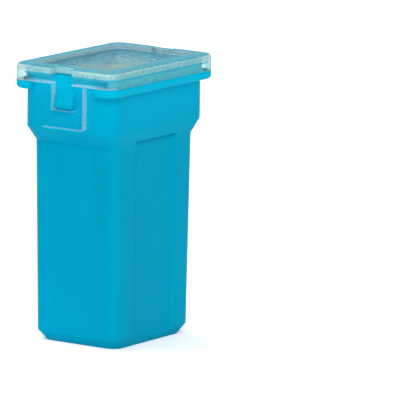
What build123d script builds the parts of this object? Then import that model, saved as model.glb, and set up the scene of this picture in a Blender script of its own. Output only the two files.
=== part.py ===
"""Cartridge fuse with two push-on female terminals and a clear clip-on cover, in millimetres.

Width runs along X, depth along Y and height along Z. The fuse stands on its terminal end, and the
origin is the middle of that end face. The two narrow sides, at -X and +X, carry the cover's latches.
"""
from build123d import *
from math import acos, degrees
import os

# Housing, outside: a tapered nose, a drafted stem, a sloped shoulder, a wider head and a collar
nose_height = 1.15
nose_inset_x = 0.75
nose_inset_y = 0.6
nose_radius = 1.4
stem_height = 23.05
stem_foot_width = 14.35
stem_foot_depth = 11.5
stem_top_width = 15.35
stem_top_depth = 11.6
stem_radius = 1.2
shoulder_height = 1.65
shoulder_step_x = 1.475
shoulder_step_y = 0.5
head_radius = 1.8
head_height = 4.4
collar_overhang_x = 0.95
collar_overhang_y = 0.75
collar_radius = 1.6
collar_thickness = 1.0
collar_round = 0.5

# Panels sunk in the stem, with sloped side edges. The wide sides' panels run up into the shoulder.
# The narrow sides' panels have less draft than the stem, so they sink deeper with height, and fade out
# below the shoulder, where the panel's floor runs out through the stem's face.
wide_panel_width = 6.8
wide_panel_sink = 0.3
wide_panel_edge = 0.5
wide_panel_overrun = 0.45
narrow_panel_foot_width = 6.8
narrow_panel_top_width = 5.2
narrow_panel_foot_sink = 0.1
narrow_panel_top_sink = 0.32
narrow_panel_edge = 1.9
narrow_panel_fade = 3.5
narrow_panel_runout = 0.05

# Housing, inside: a window cavity under the cover and two terminal chambers below it
head_wall = 1.2
cavity_floor_drop = 0.1
stem_wall = 1.3
divider_thickness = 2.0
chamber_neck = 1.3
floor_thickness = 1.5

# Slots in the end face: each is a tall slot for a blade, with a notch towards the rib between them
rib_thickness = 1.25
rib_offset = 0.35
notch_depth = 4.7
notch_height = 10.0
slot_inner = 2.48
slot_width = 1.55
slot_depth = 7.9

# Cover: a top plate and a skirt flush with the collar, and a latch leg on each narrow side
skirt_height = 1.9
skirt_thickness = 0.8
plate_thickness = 0.72
cover_edge_round = 0.5
rim_radius = 1.35
rim_gap = 0.1
rim_top_gap = 0.08
leg_width = 5.7
leg_length = 5.0
leg_thickness = 0.83
leg_gap = 0.06
leg_corner_round = 0.25
leg_slot_gap = 1.65
window_width = 2.85
window_drop = 2.97

# Latch lug of the housing in each leg's window: a ramp above, a square catch below
lug_side_gap = 0.2
lug_reach = 0.75
lug_land = 0.45
lug_ramp = 1.5
catch_gap = 0.35

# Stamped strip: receptacles for blades of 6.3 by 0.8, legs, ears that seat it, and the fusible link.
# Each receptacle's base lies behind the slot's inner edge by the overlap, so the blade clears that edge.
strip_thickness = 0.4
blade_thickness = 0.8
blade_pinch = 0.04
receptacle_flat = 5.6
receptacle_length = 8.8
receptacle_overlap = 0.1
roll_radius = 0.93
terminal_gap = 0.12
terminal_rise = 0.3
leg_jog_rise = 1.4
leg_jog_height = 4.6
leg_wall_gap = 0.3
bend_radius = 1.0
ear_gap = 0.2
ear_height = 1.6
link_drop = 0.95
plate_length = 3.2
link_width = 0.9
link_step = 1.4
link_middle = 2.4
link_turn_radius = 0.55

# Low-melting pellet, held under the middle of the link by two claws
pellet_diameter = 1.1
pellet_length = 1.9
claw_thickness = 0.3
claw_length = 0.9
claw_gap = 0.02
claw_opening = 70.0


def stem_width_at(level):
    """Width of the drafted stem at a level."""
    return stem_foot_width + (stem_top_width - stem_foot_width) * level / stem_height


def stem_depth_at(level):
    """Depth of the drafted stem at a level."""
    return stem_foot_depth + (stem_top_depth - stem_foot_depth) * level / stem_height


# Levels and places that follow from the sizes above
head_width = stem_top_width + 2 * shoulder_step_x
head_depth = stem_top_depth + 2 * shoulder_step_y
collar_width = head_width + 2 * collar_overhang_x
collar_depth = head_depth + 2 * collar_overhang_y
shoulder_top = stem_height + shoulder_height
collar_underside = shoulder_top + head_height
cover_seat = collar_underside + collar_thickness
fuse_top = cover_seat + skirt_height
plate_underside = fuse_top - plate_thickness
rim_top = plate_underside - rim_top_gap
rim_width = collar_width - 2 * (skirt_thickness + rim_gap)
rim_depth = collar_depth - 2 * (skirt_thickness + rim_gap)
cavity_floor = shoulder_top - cavity_floor_drop
cavity_radius = head_radius - head_wall
cavity_width = head_width - 2 * head_wall
cavity_depth = head_depth - 2 * head_wall
slot_outer = slot_inner + slot_width
leg_inner = head_width / 2 + leg_gap
leg_outer = leg_inner + leg_thickness
leg_foot = cover_seat - leg_length
window_foot = cover_seat - window_drop
lug_foot = window_foot + catch_gap
strip_inner = slot_inner - receptacle_overlap
chamber_inner = strip_inner - terminal_gap
chamber_outer = strip_inner + 2 * roll_radius + terminal_gap
chamber_depth = receptacle_flat + 2 * (roll_radius + terminal_gap)
terminal_foot = floor_thickness + terminal_rise
receptacle_top = terminal_foot + receptacle_length
leg_jog_foot = receptacle_top + leg_jog_rise
leg_jog_top = leg_jog_foot + leg_jog_height
leg_spread = stem_width_at(leg_jog_top) / 2 - stem_wall - leg_wall_gap - strip_thickness
ear_span = cavity_depth - 2 * ear_gap
plate_reach = leg_spread - plate_length
link_top = plate_underside - link_drop
link_underside = link_top - strip_thickness


def section(width, depth, radius, level):
    """Rounded rectangle around the Z axis at a level."""
    return Plane.XY.offset(level) * RectangleRounded(width, depth, radius)


def slab(low, high):
    """Box between two opposite corners."""
    size = [b - a for a, b in zip(low, high)]
    middle = [(a + b) / 2 for a, b in zip(low, high)]
    return Pos(*middle) * Box(*size)


def both_sides(shape):
    """The shape and its mirror image across the middle, where X is zero."""
    return shape + mirror(shape, about=Plane.YZ)


def side_profile(points, depth):
    """Solid of a closed outline in X and Z, centred on the XZ plane."""
    outline = Polyline(*[(x, 0, z) for x, z in points], close=True)
    return extrude(make_face(outline), amount=depth / 2, dir=(0, 1, 0), both=True)


def collar():
    """Flange that carries the cover and its rim inside the skirt, both open where the legs pass."""
    outline = section(collar_width, collar_depth, collar_radius, collar_underside)
    flange = extrude(outline, collar_thickness)
    flange = fillet(flange.faces().sort_by(Axis.Z)[0].edges(), collar_round)
    rim = extrude(section(rim_width, rim_depth, rim_radius, cover_seat), rim_top - cover_seat)
    half_slot = leg_width / 2 + leg_slot_gap
    leg_slot = slab(
        (head_width / 2, -half_slot, collar_underside),
        (collar_width / 2, half_slot, rim_top),
    )
    return flange + rim - both_sides(leg_slot)


def outer_body():
    """Nose, stem, shoulder, head and collar."""
    nose = section(stem_foot_width - 2 * nose_inset_x, stem_foot_depth - 2 * nose_inset_y, nose_radius, 0)
    stem_foot = section(stem_width_at(nose_height), stem_depth_at(nose_height), stem_radius, nose_height)
    stem_top = section(stem_top_width, stem_top_depth, stem_radius, stem_height)
    head_foot = section(head_width, head_depth, head_radius, shoulder_top)
    body = loft([nose, stem_foot, stem_top, head_foot], ruled=True)
    head = extrude(head_foot, cover_seat - shoulder_top)
    return body + head + collar()


def panel_cut(levels, floors, widths, slope, reach):
    """Cut for a panel on the -Y side, over rising levels and as far out as a given reach.

    The panel's floor has its own distance from the middle and its own width at each level. Its side
    edges open outward by the given slope.
    """
    ends = []
    for level, floor, width in zip(levels, floors, widths):
        inner = (width / 2, -floor)
        outer = (width / 2 + slope * reach, -floor - reach)
        outline = Polyline((-inner[0], inner[1]), inner, outer, (-outer[0], outer[1]), close=True)
        ends.append(Plane.XY.offset(level) * make_face(outline))
    return loft(ends, ruled=True)


def wide_panels():
    """Cuts for the panels on the two wide sides, which keep the stem's draft."""
    levels = (0, stem_height + wide_panel_overrun)
    floors = [stem_depth_at(level) / 2 - wide_panel_sink for level in levels]
    widths = (wide_panel_width, wide_panel_width)
    slope = wide_panel_edge / wide_panel_sink
    cut = panel_cut(levels, floors, widths, slope, wide_panel_sink + shoulder_step_y)
    return cut + mirror(cut, about=Plane.XZ)


def narrow_panels():
    """Cuts for the panels on the two narrow sides."""
    levels = (0, stem_height - narrow_panel_fade, stem_height)
    sinks = (narrow_panel_foot_sink, narrow_panel_top_sink, -narrow_panel_runout)
    floors = [stem_width_at(level) / 2 - sink for level, sink in zip(levels, sinks)]
    widths = (narrow_panel_foot_width, narrow_panel_top_width, narrow_panel_top_width)
    slope = narrow_panel_edge / narrow_panel_top_sink
    cut = panel_cut(levels, floors, widths, slope, narrow_panel_top_sink)
    return both_sides(Rot(0, 0, -90) * cut)


def terminal_chamber():
    """Space of one terminal: snug round the receptacle, wider above it where the leg jogs outward."""
    neck_foot = receptacle_top
    neck_top = neck_foot + chamber_neck
    wall_at = [stem_width_at(level) / 2 - stem_wall for level in (neck_top, cavity_floor)]
    return side_profile(
        [
            (chamber_inner, floor_thickness),
            (chamber_outer, floor_thickness),
            (chamber_outer, neck_foot),
            (wall_at[0], neck_top),
            (wall_at[1], cavity_floor),
            (divider_thickness / 2, cavity_floor),
            (divider_thickness / 2, neck_top),
            (chamber_inner, neck_foot),
        ],
        chamber_depth,
    )


def end_slots():
    """T-shaped openings in the end face: tall slots, and notches on both sides of an off-centre rib."""
    tall = slab((slot_inner, -slot_depth / 2, 0), (slot_outer, slot_depth / 2, floor_thickness))
    notches = slab((-slot_inner, -notch_depth / 2, 0), (slot_inner, notch_depth / 2, notch_height))
    rib_side = rib_thickness / 2
    rib = slab(
        (rib_offset - rib_side, -notch_depth / 2, 0),
        (rib_offset + rib_side, notch_depth / 2, notch_height),
    )
    return both_sides(tall) + (notches - rib)


def latch_lug():
    """Ramp and catch that stand on a narrow side of the head, inside the leg's window."""
    root = head_width / 2
    tip = root + lug_reach
    return side_profile(
        [
            (root, lug_foot),
            (tip, lug_foot),
            (tip, lug_foot + lug_land),
            (root, lug_foot + lug_land + lug_ramp),
        ],
        window_width - 2 * lug_side_gap,
    )


def housing():
    """Moulded shell of the fuse."""
    cavity = extrude(section(cavity_width, cavity_depth, cavity_radius, cavity_floor), rim_top - cavity_floor)
    shell = outer_body() - wide_panels() - narrow_panels()
    shell = shell - cavity - both_sides(terminal_chamber()) - end_slots()
    return shell + both_sides(latch_lug())


def latch_leg():
    """Leg that hangs from the skirt over a narrow side of the head."""
    leg = slab((leg_inner, -leg_width / 2, leg_foot), (leg_outer, leg_width / 2, plate_underside))
    foot_edges = leg.faces().sort_by(Axis.Z)[0].edges().filter_by(Axis.X)
    return fillet(foot_edges, leg_corner_round)


def latch_window():
    """Cut for a leg's window, which runs up through the skirt and notches the edge of the plate."""
    half = window_width / 2
    outside = collar_width / 2
    in_leg = slab((head_width / 2, -half, window_foot), (outside, half, cover_seat))
    in_skirt = slab((outside - skirt_thickness, -half, cover_seat), (outside, half, fuse_top))
    return in_leg + in_skirt


def window_cover():
    """Clear cover with its two latch legs."""
    block = extrude(section(collar_width, collar_depth, collar_radius, cover_seat), skirt_height)
    block = fillet(block.faces().sort_by(Axis.Z)[-1].edges(), cover_edge_round)
    inner_width = collar_width - 2 * skirt_thickness
    inner_depth = collar_depth - 2 * skirt_thickness
    hollow = extrude(
        section(inner_width, inner_depth, rim_radius + rim_gap, cover_seat),
        plate_underside - cover_seat,
    )
    return block + both_sides(latch_leg()) - hollow - both_sides(latch_window())


def strip_leg():
    """One side of the strip as a bent band: receptacle base, jog, riser and the plate beside the link."""
    riser = leg_spread + strip_thickness
    path = FilletPolyline(
        (strip_inner, 0, terminal_foot),
        (strip_inner, 0, leg_jog_foot),
        (leg_spread, 0, leg_jog_top),
        (leg_spread, 0, link_underside),
        (plate_reach, 0, link_underside),
        radius=bend_radius,
    )
    band = make_face(offset(path, amount=strip_thickness, side=Side.RIGHT))
    band = extrude(band, amount=ear_span / 2, dir=(0, 1, 0), both=True)
    body = slab((0, -receptacle_flat / 2, terminal_foot), (riser, receptacle_flat / 2, link_top))
    ears = slab((0, -ear_span / 2, cavity_floor), (riser, ear_span / 2, cavity_floor + ear_height))
    return band & (body + ears)


def edge_roll(side):
    """Rolled edge of a receptacle, which presses a blade against the flat base."""
    centre = (strip_inner + roll_radius, side * receptacle_flat / 2)
    inner_radius = roll_radius - strip_thickness
    lip_height = strip_thickness + blade_thickness - blade_pinch - roll_radius
    turn = -side * (180 + degrees(acos(lip_height / inner_radius)))
    outer = CenterArc(centre, roll_radius, 180, turn)
    inner = CenterArc(centre, inner_radius, 180, turn)
    outline = make_face([outer, Line(outer @ 1, inner @ 1), inner, Line(inner @ 0, outer @ 0)])
    return extrude(Plane.XY.offset(terminal_foot) * outline, receptacle_length)


def fusible_link():
    """Narrow stepped link between the two plates, which it overlaps by its own width."""
    outside = plate_reach + link_width
    corner = link_middle / 2
    path = FilletPolyline(
        (-outside, link_step),
        (-corner, link_step),
        (-corner, 0),
        (corner, 0),
        (corner, -link_step),
        (outside, -link_step),
        radius=link_turn_radius,
    )
    band = trace(path, link_width)
    return extrude(Plane.XY.offset(link_underside) * band, strip_thickness)


def pellet_axis():
    """Plane across the pellet's axis, with its origin on that axis and its X direction along Y."""
    height = link_underside - claw_gap - pellet_diameter / 2
    return Plane(origin=(0, 0, height), x_dir=(0, 1, 0), z_dir=(1, 0, 0))


def claws():
    """Two claws that curl down from the link round the pellet, open at the bottom."""
    inner_radius = pellet_diameter / 2 + claw_gap
    outer_radius = inner_radius + claw_thickness
    start = claw_opening / 2 - 90
    outer = CenterArc((0, 0), outer_radius, start, 360 - claw_opening)
    inner = CenterArc((0, 0), inner_radius, start, 360 - claw_opening)
    outline = make_face([outer, Line(outer @ 1, inner @ 1), inner, Line(inner @ 0, outer @ 0)])
    return extrude(pellet_axis() * outline, claw_length / 2, both=True)


def fuse_element():
    """The whole stamped strip: two receptacles, two legs, the link and its claws."""
    half = strip_leg() + edge_roll(1) + edge_roll(-1)
    return both_sides(half) + fusible_link() + claws()


def tin_pellet():
    """Low-melting pellet along the underside of the link."""
    return extrude(pellet_axis() * Circle(pellet_diameter / 2), pellet_length / 2, both=True)


nodes = {
    "housing": housing(),
    "window_cover": window_cover(),
    "fuse_element": fuse_element(),
    "tin_pellet": tin_pellet(),
}
os.makedirs("parts", exist_ok=True)
for name, shape in nodes.items():
    export_step(shape, f"parts/{name}.step")
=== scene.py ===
"""Studio picture of a cartridge fuse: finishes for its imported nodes, a pale floor, soft light and a camera.

Lengths are in metres, angles in degrees, and colours are linear.
"""
import math

import bpy
from mathutils import Matrix, Vector


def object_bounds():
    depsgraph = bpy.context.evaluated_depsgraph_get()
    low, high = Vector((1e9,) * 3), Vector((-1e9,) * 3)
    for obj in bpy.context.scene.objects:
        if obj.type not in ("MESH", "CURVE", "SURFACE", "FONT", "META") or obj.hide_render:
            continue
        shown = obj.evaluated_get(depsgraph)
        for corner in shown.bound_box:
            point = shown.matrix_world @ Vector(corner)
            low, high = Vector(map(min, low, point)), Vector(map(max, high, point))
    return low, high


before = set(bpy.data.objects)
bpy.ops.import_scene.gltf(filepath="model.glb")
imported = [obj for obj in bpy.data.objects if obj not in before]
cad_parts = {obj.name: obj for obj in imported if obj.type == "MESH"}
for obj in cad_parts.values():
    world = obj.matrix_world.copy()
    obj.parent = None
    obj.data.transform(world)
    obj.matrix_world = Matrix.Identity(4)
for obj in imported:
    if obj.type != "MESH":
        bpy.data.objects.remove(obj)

cad_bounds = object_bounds()

# The fuse's half lengths towards its latches and towards its wide faces, and its height
MICROMETRE_DIGITS = 6
HALF_SIDE, HALF_FRONT, TOP = (round(value, MICROMETRE_DIGITS) for value in cad_bounds[1])

# Camera
CAMERA_AZIMUTH = -55.1
CAMERA_PITCH = 10.3
CAMERA_ROLL = 0.69
CAMERA_DISTANCE = 0.709
CAMERA_VIEW_ANGLE = 3.66
CAMERA_ASIDE = 0.00983
CAMERA_BELOW = 0.00035
CAMERA_NEAR = CAMERA_DISTANCE / 50
CAMERA_FAR = CAMERA_DISTANCE * 20

# Floor
FLOOR_SIZE = 4.0
FLOOR_COLOUR = (0.97, 0.97, 0.97, 1)
FLOOR_LIFT = 0.3

# Light
WHITE = (1, 1, 1, 1)
AMBIENT_STRENGTH = 0.25
LAMP_DISTANCE = 1.2
LAMPS = {
    "front": {"azimuth": -50.0, "height": 38.0, "size": 0.7, "watts": 8.2},
    "top": {"azimuth": 180.0, "height": 75.0, "size": 0.9, "watts": 8.5},
}

# All finishes: the span that most of a noise's values lie in, the width that a region's edge fades over, and
# the numbers of the Mix node's sockets for colours
NOISE_LOW = 0.3
NOISE_HIGH = 0.7
EDGE_FADE = 0.0001
MIX_LOW = 6
MIX_HIGH = 7
MIX_RESULT = 2

# Blue nylon: colours, sheen and relief
NYLON_DEEP = (0.0, 0.358, 0.568, 1)
NYLON_PALE = (0.0, 0.52, 0.78, 1)
NYLON_SHEEN = (0.0, 0.75, 1.0, 1)
NYLON_SHEEN_LEVEL = 0.02
NYLON_GLOW = 0.3
NYLON_GLOW_REACH = (0.1, 1.0, 1.0)
NYLON_GLOW_DEPTH = 0.0008
NYLON_ROUGHNESS = (0.36, 0.5)
NYLON_ROUGH_PATCH = 0.0015
NYLON_GRAIN = 0.00022
NYLON_GRAIN_DEPTH = 0.000006
NYLON_EDGE_RADIUS = 0.00035

# Blue nylon: levels between which painted light makes it paler, and how much paler the painted light and its
# random clouds make it
NYLON_FOOT_TOP = 0.01
NYLON_HEAD_FOOT = TOP - 0.0105
NYLON_HEAD_TOP = TOP - 0.0038
FOOT_PAINTED_LIGHT = 0.14
HEAD_PAINTED_LIGHT = 0.35
COLLAR_PAINTED_LIGHT = 0.55
CLOUD_PALER = 0.1
CLOUD_SIZE = 0.006
CLOUD_STRETCH = (1, 1, 0.45)

# Clear cover: levels, set down from its top
COVER_SEAT = TOP - 0.0019
SEAM_TOP = TOP - 0.0017
SKIRT_TOP = TOP - 0.00098
PLATE_FOOT = TOP - 0.00078
PLATE_FADE = 0.00008

# Clear cover: distances from its middle planes, set in from its outer faces, with "side" towards the latches
# and "front" towards the wide faces
LEG_SIDE = HALF_SIDE - 0.00094
LEG_FADE = 0.00005
SEAM_SIDE = HALF_SIDE - 0.0009
SKIRT_FRONT = HALF_FRONT - 0.00085
PLATE_END_SIDE = HALF_SIDE - 0.0007
PLATE_END_FADE = 0.0004
BORDER_SIDE = HALF_SIDE - 0.0019
BORDER_FRONT = HALF_FRONT - 0.00195
BORDER_FADE = 0.0014
CORNER_SIDE = HALF_SIDE - 0.0018
CORNER_FRONT = HALF_FRONT - 0.00185
CORNER_FADE = 0.0006

# Clear cover: distance from a leg's middle plane to the middle of the rail on each side of its window
LEG_RAIL = 0.0021

# Clear cover: how far a face's normal leans to an axis for the face to count as square to it
LEVEL_FACE = 0.8
LEVEL_FADE = 0.3
UPRIGHT_FACE = 0.7
UPRIGHT_FADE = 0.2

# Clear cover: what each region has of opacity, of scattered light and of painted light, a pale tint painted
# on its lit edges
COVER_REGIONS = {
    "plate_face": {"opacity": 0.52, "scatter": 0.12},
    "border": {"opacity": 0.97, "scatter": 0.94},
    "plate_edge": {"opacity": 0.88, "scatter": 0.8, "paleness_with_painted_light": 0.02},
    "plate_end": {"paleness_with_painted_light": 0.15},
    "corner": {"opacity": 0.85, "scatter": 0.6, "paleness_with_painted_light": 0.45},
    "skirt": {"scatter": 0.6},
    "long_skirt": {"opacity": 0.45},
    "skirt_top": {"opacity": 0.9, "scatter": 0.9},
    "seam": {"opacity": 0.45, "scatter": 0.4, "paleness_with_painted_light": 1.0},
    "leg_edge": {"opacity": 0.6, "scatter": 0.4, "paleness_with_painted_light": 1.0},
}
LEAST_OPACITY = 0.06
LEAST_SCATTER = 0.05

# Clear cover: tints, painted light, refraction and relief
PLATE_TINT = (0.3, 0.66, 0.7, 1)
# Skirt: its tint, with painted light, a bright teal that lifts the shade that the plate casts on it
SKIRT_TINT_AND_PAINTED_LIGHT = (0.26, 0.97, 0.97, 1)
GRAIN_AND_PAINTED_EDGE_LIGHT = (0.9, 0.98, 1.0, 1)
# Band under the plate's edge: painted light, a bright teal laid over the shade there
SKIRT_TOP_PAINTED_LIGHT = (0.03, 0.5, 0.66, 1)
BORDER_TINT = (0.06, 0.37, 0.48, 1)
TINT_GRAIN = 0.0004
TINT_GRAIN_SHARE = 0.12
COVER_IOR = 1.05
COVER_ROUGHNESS = (0.25, 0.4)
COVER_ROUGH_PATCH = 0.0006
COVER_GRAIN = 0.0005
COVER_GRAIN_DEPTH = 0.000001

# Stamped brass
BRASS_DULL = (0.84, 0.66, 0.38, 1)
BRASS_BRIGHT = (0.93, 0.77, 0.48, 1)
BRASS_SPOT = 0.003
BRASS_ROUGHNESS = (0.42, 0.58)
BRASS_LINE = 0.0003
BRASS_LINE_STRETCH = (1, 1, 0.06)
BRASS_LINE_DEPTH = 0.000006

# Tin
TIN_DULL = (0.6, 0.6, 0.58, 1)
TIN_BRIGHT = (0.72, 0.72, 0.7, 1)
TIN_SPOT = 0.0006
TIN_ROUGHNESS = (0.42, 0.58)
TIN_ROUGH_PATCH = 0.0004
TIN_GRAIN = 0.0002
TIN_GRAIN_DEPTH = 0.00001


def direction(azimuth, height):
    """Unit vector from the origin towards an azimuth and a height above the floor."""
    turn, rise = math.radians(azimuth), math.radians(height)
    flat = math.cos(rise)
    return Vector((flat * math.sin(turn), -flat * math.cos(turn), math.sin(rise)))


def link_object(name, data):
    """New object in the scene."""
    obj = bpy.data.objects.new(name, data)
    bpy.context.scene.collection.objects.link(obj)
    return obj


def add_camera():
    """Camera aimed past the fuse, so that it stands left of the picture's middle."""
    low, high = cad_bounds
    middle = (Vector(low) + Vector(high)) / 2
    back = direction(CAMERA_AZIMUTH, CAMERA_PITCH)
    right = Vector((0, 0, 1)).cross(back).normalized()
    up = back.cross(right)
    roll = Matrix.Rotation(math.radians(CAMERA_ROLL), 3, back)
    right, up = roll @ right, roll @ up
    place = middle + back * CAMERA_DISTANCE + right * CAMERA_ASIDE - up * CAMERA_BELOW
    data = bpy.data.cameras.new("camera")
    data.sensor_fit = "HORIZONTAL"
    data.angle = math.radians(CAMERA_VIEW_ANGLE)
    data.clip_start = CAMERA_NEAR
    data.clip_end = CAMERA_FAR
    camera = link_object("camera", data)
    turn = Matrix((right, up, back)).transposed()
    camera.matrix_world = Matrix.Translation(place) @ turn.to_4x4()
    bpy.context.scene.camera = camera


def add_lamps():
    """Large soft lamps that face the fuse."""
    for name, lamp in LAMPS.items():
        data = bpy.data.lights.new(name, "AREA")
        data.shape = "DISK"
        data.size = lamp["size"]
        data.energy = lamp["watts"]
        obj = link_object(name, data)
        toward = direction(lamp["azimuth"], lamp["height"])
        turn = toward.to_track_quat("Z", "Y").to_matrix().to_4x4()
        obj.matrix_world = Matrix.Translation(toward * LAMP_DISTANCE) @ turn


def add_world():
    """Plain soft light all round, which the camera, glossy surfaces and clear plastic see as white."""
    world = bpy.data.worlds.new("studio")
    bpy.context.scene.world = world
    world.use_nodes = True
    tree = world.node_tree
    tree.nodes.clear()
    path = tree.nodes.new("ShaderNodeLightPath")
    seen = path.outputs["Is Camera Ray"]
    for kind in ("Is Glossy Ray", "Is Transmission Ray"):
        either = tree.nodes.new("ShaderNodeMath")
        either.operation = "MAXIMUM"
        tree.links.new(seen, either.inputs[0])
        tree.links.new(path.outputs[kind], either.inputs[1])
        seen = either.outputs[0]
    strength = tree.nodes.new("ShaderNodeMapRange")
    strength.inputs["To Min"].default_value = AMBIENT_STRENGTH
    strength.inputs["To Max"].default_value = 1.0
    tree.links.new(seen, strength.inputs["Value"])
    background = tree.nodes.new("ShaderNodeBackground")
    background.inputs["Color"].default_value = WHITE
    tree.links.new(strength.outputs[0], background.inputs["Strength"])
    output = tree.nodes.new("ShaderNodeOutputWorld")
    tree.links.new(background.outputs[0], output.inputs["Surface"])


def add_floor():
    """Plain pale floor, level with the fuse's foot, which the camera sees as white round the shadow."""
    half = FLOOR_SIZE / 2
    corners = [(-half, -half, 0), (half, -half, 0), (half, half, 0), (-half, half, 0)]
    mesh = bpy.data.meshes.new("floor")
    mesh.from_pydata(corners, [], [(0, 1, 2, 3)])
    floor = link_object("floor", mesh)
    material = bpy.data.materials.new("floor")
    material.use_nodes = True
    tree = material.node_tree
    shader = tree.nodes["Principled BSDF"]
    shader.inputs["Base Color"].default_value = FLOOR_COLOUR
    shader.inputs["Roughness"].default_value = 1.0
    shader.inputs["Specular IOR Level"].default_value = 0.0
    shader.inputs["Emission Color"].default_value = WHITE
    path = tree.nodes.new("ShaderNodeLightPath")
    lift = tree.nodes.new("ShaderNodeMath")
    lift.operation = "MULTIPLY"
    lift.inputs[1].default_value = FLOOR_LIFT
    tree.links.new(path.outputs["Is Camera Ray"], lift.inputs[0])
    tree.links.new(lift.outputs[0], shader.inputs["Emission Strength"])
    mesh.materials.append(material)


class Finish:
    """Material with one Principled shader, and short ways to add procedural nodes to it."""

    def __init__(self, name):
        self.material = bpy.data.materials.new(name)
        self.material.use_nodes = True
        self.tree = self.material.node_tree
        self.shader = self.tree.nodes["Principled BSDF"]
        coordinates = self.tree.nodes.new("ShaderNodeTexCoord")
        self.place = coordinates.outputs["Object"]
        self.normal = coordinates.outputs["Normal"]

    def constants(self, **values):
        """Constants on the shader's sockets, with spaces in their names written as underscores."""
        for socket, value in values.items():
            self.shader.inputs[socket.replace("_", " ")].default_value = value

    def drive(self, value, socket):
        """Value led to one of the shader's sockets."""
        self.tree.links.new(value, self.shader.inputs[socket])

    def number(self, value):
        """Constant value."""
        node = self.tree.nodes.new("ShaderNodeValue")
        node.outputs[0].default_value = value
        return node.outputs[0]

    def math(self, operation, first, second):
        """Result of a calculation with a value and another value or number."""
        node = self.tree.nodes.new("ShaderNodeMath")
        node.operation = operation
        self.tree.links.new(first, node.inputs[0])
        if isinstance(second, (int, float)):
            node.inputs[1].default_value = second
        else:
            self.tree.links.new(second, node.inputs[1])
        return node.outputs[0]

    def both(self, first, second):
        """Mask of what lies in two masks."""
        return self.math("MULTIPLY", first, second)

    def either(self, first, second):
        """Mask of what lies in one of two masks."""
        return self.math("MAXIMUM", first, second)

    def without(self, first, second):
        """Mask of what lies in one mask and not in another."""
        return self.math("SUBTRACT", first, second)

    def component(self, vector, axis):
        """One component of a vector."""
        node = self.tree.nodes.new("ShaderNodeSeparateXYZ")
        self.tree.links.new(vector, node.inputs[0])
        return node.outputs[axis]

    def distance(self, vector, axis):
        """One component of a vector, without its sign."""
        return self.math("ABSOLUTE", self.component(vector, axis), 0.0)

    def noise(self, size, stretch=(1, 1, 1)):
        """Noise with features of about a given size, from 0 to 1."""
        scale = self.tree.nodes.new("ShaderNodeMapping")
        scale.inputs["Scale"].default_value = [factor / size for factor in stretch]
        self.tree.links.new(self.place, scale.inputs["Vector"])
        noise = self.tree.nodes.new("ShaderNodeTexNoise")
        noise.inputs["Scale"].default_value = 1.0
        self.tree.links.new(scale.outputs[0], noise.inputs["Vector"])
        return noise.outputs["Fac"]

    def ramp(self, value, low, high, start=NOISE_LOW, end=NOISE_HIGH):
        """Value mapped from one range to another, smoothly and held at both ends."""
        node = self.tree.nodes.new("ShaderNodeMapRange")
        node.interpolation_type = "SMOOTHSTEP"
        for socket, number in (("From Min", start), ("From Max", end), ("To Min", low), ("To Max", high)):
            node.inputs[socket].default_value = number
        self.tree.links.new(value, node.inputs["Value"])
        return node.outputs[0]

    def step(self, value, level, fade=EDGE_FADE):
        """0 below a level and 1 above it, over a given width."""
        return self.ramp(value, 0.0, 1.0, level - fade / 2, level + fade / 2)

    def between(self, value, low, high):
        """1 between two levels and 0 outside them."""
        return self.without(self.step(value, low), self.step(value, high))

    def mix(self, value, low, high):
        """Colour between a colour, given as numbers or led from another mix, and another colour."""
        node = self.tree.nodes.new("ShaderNodeMix")
        node.data_type = "RGBA"
        if isinstance(low, tuple):
            node.inputs[MIX_LOW].default_value = low
        else:
            self.tree.links.new(low, node.inputs[MIX_LOW])
        node.inputs[MIX_HIGH].default_value = high
        self.tree.links.new(value, node.inputs["Factor"])
        return node.outputs[MIX_RESULT]

    def colour(self, value, low, high):
        """Base colour between two colours."""
        self.drive(self.mix(value, low, high), "Base Color")

    def roughness(self, value, span):
        """Roughness that follows a noise over a span."""
        low, high = span
        self.drive(self.ramp(value, low, high), "Roughness")

    def bump(self, value, depth, edge_radius=0.0):
        """Relief of a given depth, over edges that are softened by a given radius."""
        node = self.tree.nodes.new("ShaderNodeBump")
        if edge_radius:
            bevel = self.tree.nodes.new("ShaderNodeBevel")
            bevel.inputs["Radius"].default_value = edge_radius
            self.tree.links.new(bevel.outputs[0], node.inputs["Normal"])
        node.inputs["Distance"].default_value = depth
        self.tree.links.new(value, node.inputs["Height"])
        self.tree.links.new(node.outputs[0], self.shader.inputs["Normal"])


def blue_nylon():
    """Moulded nylon: satin, a little translucent and lightly clouded, with a fine grain.

    It is painted a little paler towards the foot, more in the head and most at the collar, as in the
    photograph: painted light, not a change in the nylon.
    """
    finish = Finish("blue_nylon")
    finish.constants(
        Specular_IOR_Level=NYLON_SHEEN_LEVEL,
        Specular_Tint=NYLON_SHEEN,
        Subsurface_Weight=NYLON_GLOW,
        Subsurface_Radius=NYLON_GLOW_REACH,
        Subsurface_Scale=NYLON_GLOW_DEPTH,
    )
    height = finish.distance(finish.place, "Z")
    # Painted light: paler at the foot, in the head and most at the collar; the clouds below are the nylon's
    # own random tone
    foot = finish.ramp(height, FOOT_PAINTED_LIGHT, 0.0, 0.0, NYLON_FOOT_TOP)
    head = finish.ramp(height, 0.0, HEAD_PAINTED_LIGHT, NYLON_HEAD_FOOT, NYLON_HEAD_TOP)
    collar = finish.ramp(height, 0.0, COLLAR_PAINTED_LIGHT, NYLON_HEAD_TOP, COVER_SEAT)
    clouds = finish.ramp(finish.noise(CLOUD_SIZE, CLOUD_STRETCH), 0.0, CLOUD_PALER)
    paler = finish.math("ADD", finish.math("ADD", clouds, foot), finish.math("ADD", head, collar))
    finish.colour(paler, NYLON_DEEP, NYLON_PALE)
    finish.roughness(finish.noise(NYLON_ROUGH_PATCH), NYLON_ROUGHNESS)
    finish.bump(finish.noise(NYLON_GRAIN), NYLON_GRAIN_DEPTH, NYLON_EDGE_RADIUS)
    return finish.material


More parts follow.
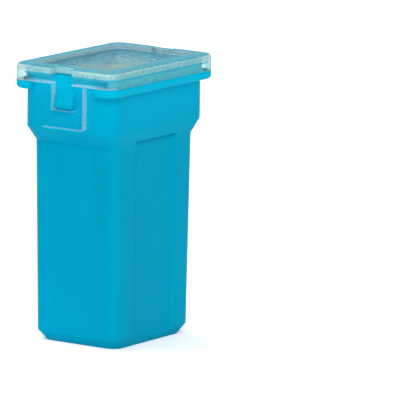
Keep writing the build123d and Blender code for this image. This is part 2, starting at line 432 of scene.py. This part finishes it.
def cover_regions(finish):
    """Masks of the clear cover's regions, by their place on the part and the way that they face."""
    height = finish.distance(finish.place, "Z")
    side = finish.distance(finish.place, "X")
    front = finish.distance(finish.place, "Y")
    along = finish.component(finish.place, "X")
    across = finish.component(finish.place, "Y")
    level = finish.step(finish.distance(finish.normal, "Z"), LEVEL_FACE, LEVEL_FADE)
    upright = finish.step(finish.distance(finish.normal, "Y"), UPRIGHT_FACE, UPRIGHT_FADE)

    plate = finish.step(height, PLATE_FOOT, PLATE_FADE)
    plate_face = finish.both(plate, level)
    # Painted light: the plate's edge is painted a little paler, and most at its ends towards the latches
    plate_edge = finish.without(plate, plate_face)
    plate_end = finish.both(plate_edge, finish.step(side, PLATE_END_SIDE, PLATE_END_FADE))
    border = finish.either(
        finish.step(side, BORDER_SIDE, BORDER_FADE),
        finish.step(front, BORDER_FRONT, BORDER_FADE),
    )
    border = finish.both(border, plate_face)

    # Painted light: two opposite corners, cloudier than the other two, are also painted paler
    corners = finish.both(
        finish.step(side, CORNER_SIDE, CORNER_FADE),
        finish.step(front, CORNER_FRONT, CORNER_FADE),
    )
    opposite = finish.math("LESS_THAN", finish.math("MULTIPLY", along, across), 0.0)
    corner = finish.both(corners, opposite)

    skirt = finish.between(height, COVER_SEAT, PLATE_FOOT)
    long_skirt = finish.both(skirt, finish.step(front, SKIRT_FRONT))
    # Painted light: the band under the plate's edge, where shade would fall
    skirt_top = finish.without(finish.between(height, SKIRT_TOP, PLATE_FOOT), corner)
    # Painted highlight: the skirt's foot towards the latches is painted pale
    seam = finish.both(finish.between(height, COVER_SEAT, SEAM_TOP), finish.step(side, SEAM_SIDE))

    # Of a leg's upright walls, the two that face -Y are painted pale as painted light on lit edges, one
    # outside it and one in its window
    leg = finish.without(finish.step(side, LEG_SIDE, LEG_FADE), finish.step(height, COVER_SEAT))
    outer_wall = finish.step(finish.math("MULTIPLY", across, -1.0), LEG_RAIL)
    window_wall = finish.between(across, 0.0, LEG_RAIL)
    walls = finish.both(finish.either(outer_wall, window_wall), upright)
    leg_edge = finish.both(leg, finish.either(walls, level))

    return {
        "plate_face": plate_face,
        "border": border,
        "plate_edge": plate_edge,
        "plate_end": plate_end,
        "corner": corner,
        "skirt": skirt,
        "long_skirt": long_skirt,
        "skirt_top": skirt_top,
        "seam": seam,
        "leg_edge": leg_edge,
    }


def strongest(finish, regions, quality, least):
    """Greatest share of a quality among the regions that a place lies in, and at least a given share."""
    result = finish.number(least)
    for name, shares in COVER_REGIONS.items():
        if quality in shares:
            result = finish.either(result, finish.math("MULTIPLY", regions[name], shares[quality]))
    return result


def clear_plastic():
    """Clear cover: a grainy frosted plate, a clearer skirt and legs, and edges painted pale as painted light.

    Two opposite corners are cloudier than the other two and painted paler as painted light, as they look in
    the photograph.
    """
    finish = Finish("clear_cover")
    finish.constants(IOR=COVER_IOR)
    regions = cover_regions(finish)
    finish.drive(strongest(finish, regions, "opacity", LEAST_OPACITY), "Alpha")
    scatter = strongest(finish, regions, "scatter", LEAST_SCATTER)
    finish.drive(finish.without(finish.number(1.0), scatter), "Transmission Weight")
    # A random grain of tint, added to the painted light that makes the lit edges pale
    grain = finish.ramp(finish.noise(TINT_GRAIN), -TINT_GRAIN_SHARE, TINT_GRAIN_SHARE)
    paleness_with_painted_light = finish.math("ADD", strongest(finish, regions, "paleness_with_painted_light", 0.0), grain)
    # The skirt's tint carries painted light, a bright teal against the plate's shade
    tint = finish.mix(regions["skirt"], PLATE_TINT, SKIRT_TINT_AND_PAINTED_LIGHT)
    tint = finish.mix(paleness_with_painted_light, tint, GRAIN_AND_PAINTED_EDGE_LIGHT)
    # Painted light: the band under the plate's edge is a bright teal
    tint = finish.mix(regions["skirt_top"], tint, SKIRT_TOP_PAINTED_LIGHT)
    finish.colour(regions["border"], tint, BORDER_TINT)
    finish.roughness(finish.noise(COVER_ROUGH_PATCH), COVER_ROUGHNESS)
    finish.bump(finish.noise(COVER_GRAIN), COVER_GRAIN_DEPTH)
    return finish.material


def stamped_brass():
    """Stamped strip: rolled sheet with fine lines along it and dulled spots."""
    finish = Finish("copper_alloy")
    finish.constants(Metallic=1.0)
    finish.colour(finish.ramp(finish.noise(BRASS_SPOT), 0.0, 1.0), BRASS_DULL, BRASS_BRIGHT)
    lines = finish.noise(BRASS_LINE, BRASS_LINE_STRETCH)
    finish.roughness(lines, BRASS_ROUGHNESS)
    finish.bump(lines, BRASS_LINE_DEPTH)
    return finish.material


def tin():
    """Pellet: dull cast tin."""
    finish = Finish("tin")
    finish.constants(Metallic=1.0)
    finish.colour(finish.ramp(finish.noise(TIN_SPOT), 0.0, 1.0), TIN_DULL, TIN_BRIGHT)
    finish.roughness(finish.noise(TIN_ROUGH_PATCH), TIN_ROUGHNESS)
    finish.bump(finish.noise(TIN_GRAIN), TIN_GRAIN_DEPTH)
    return finish.material


FINISHES = {
    "housing": blue_nylon,
    "window_cover": clear_plastic,
    "fuse_element": stamped_brass,
    "tin_pellet": tin,
}


def finish_nodes():
    """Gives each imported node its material."""
    for name, make in FINISHES.items():
        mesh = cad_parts[name].data
        mesh.materials.clear()
        mesh.materials.append(make())


add_camera()
add_lamps()
add_world()
add_floor()
finish_nodes()
bpy.context.scene.view_settings.view_transform = "Standard"
